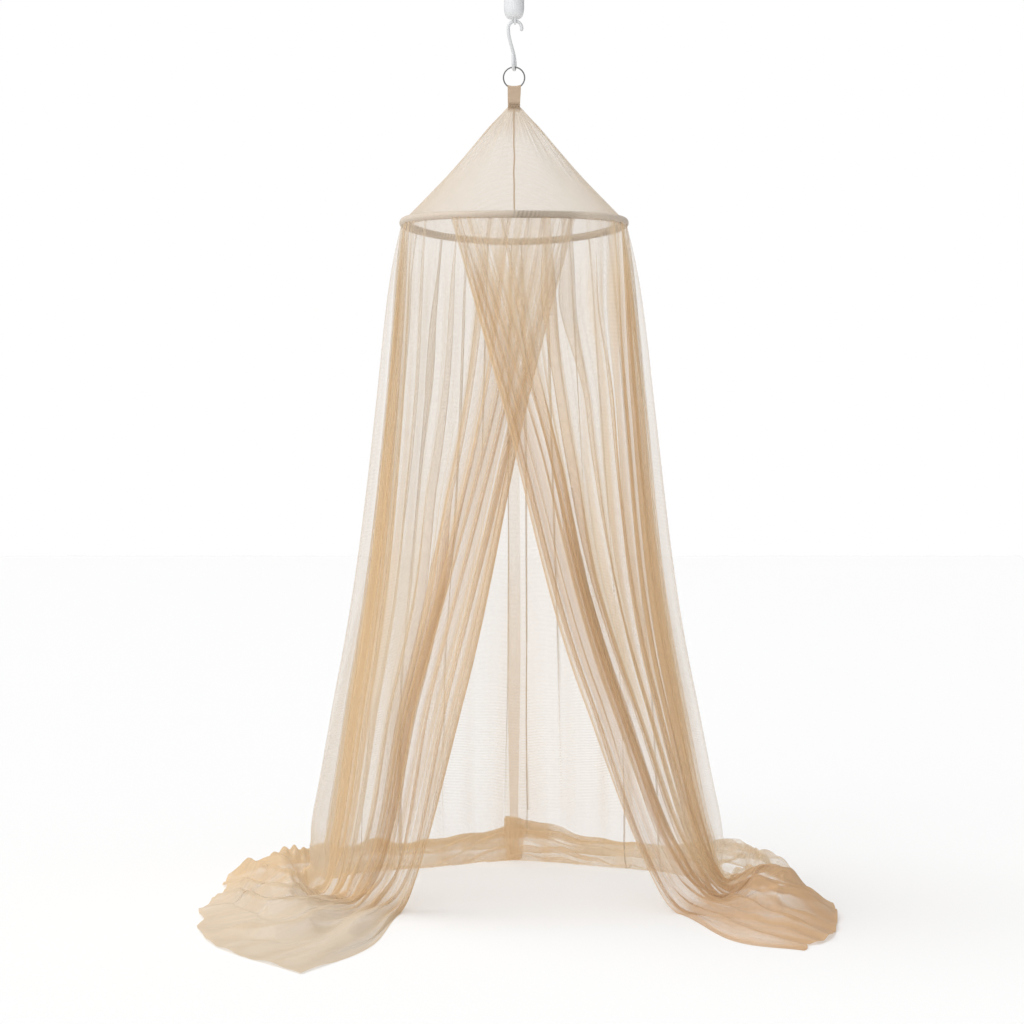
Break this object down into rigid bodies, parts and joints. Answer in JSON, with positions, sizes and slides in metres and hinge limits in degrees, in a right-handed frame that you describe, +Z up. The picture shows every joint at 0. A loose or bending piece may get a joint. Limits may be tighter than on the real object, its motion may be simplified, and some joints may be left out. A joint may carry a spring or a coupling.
{
  "type": "mosquito net canopy with hoop and hanging hook",
  "caption": "Conical mosquito net canopy: a net crown and two crossed, floor-length net curtains on a covered hoop, hung by a tape loop, ring and S-hook from a ceiling stem.",
  "frame": {"origin": "centre of the ceiling stem's flat top face", "axes": "+Z up, out of the stem's top face into the ceiling; -Y towards the front, where the curtains cross; +X to the right of someone who looks at the front"},
  "size_m": [1.3144, 1.5555, 2],
  "materials": {
    "stem": "satin white",
    "hook": "white powder coat",
    "ring": "dark polished steel",
    "tape": "woven cotton tape",
    "crown": "fine soft net",
    "hoop_cover": "woven cover over a padded hoop",
    "net": "fine soft net"
  },
  "bodies": {
    "root": {"ceiling_stem": "stem", "s_hook": "hook", "steel_ring": "ring", "hanging_tape": "tape", "crown_net": "crown", "covered_hoop": "hoop_cover", "left_curtain": "net", "right_curtain": "net"}
  },
  "joints": []
}
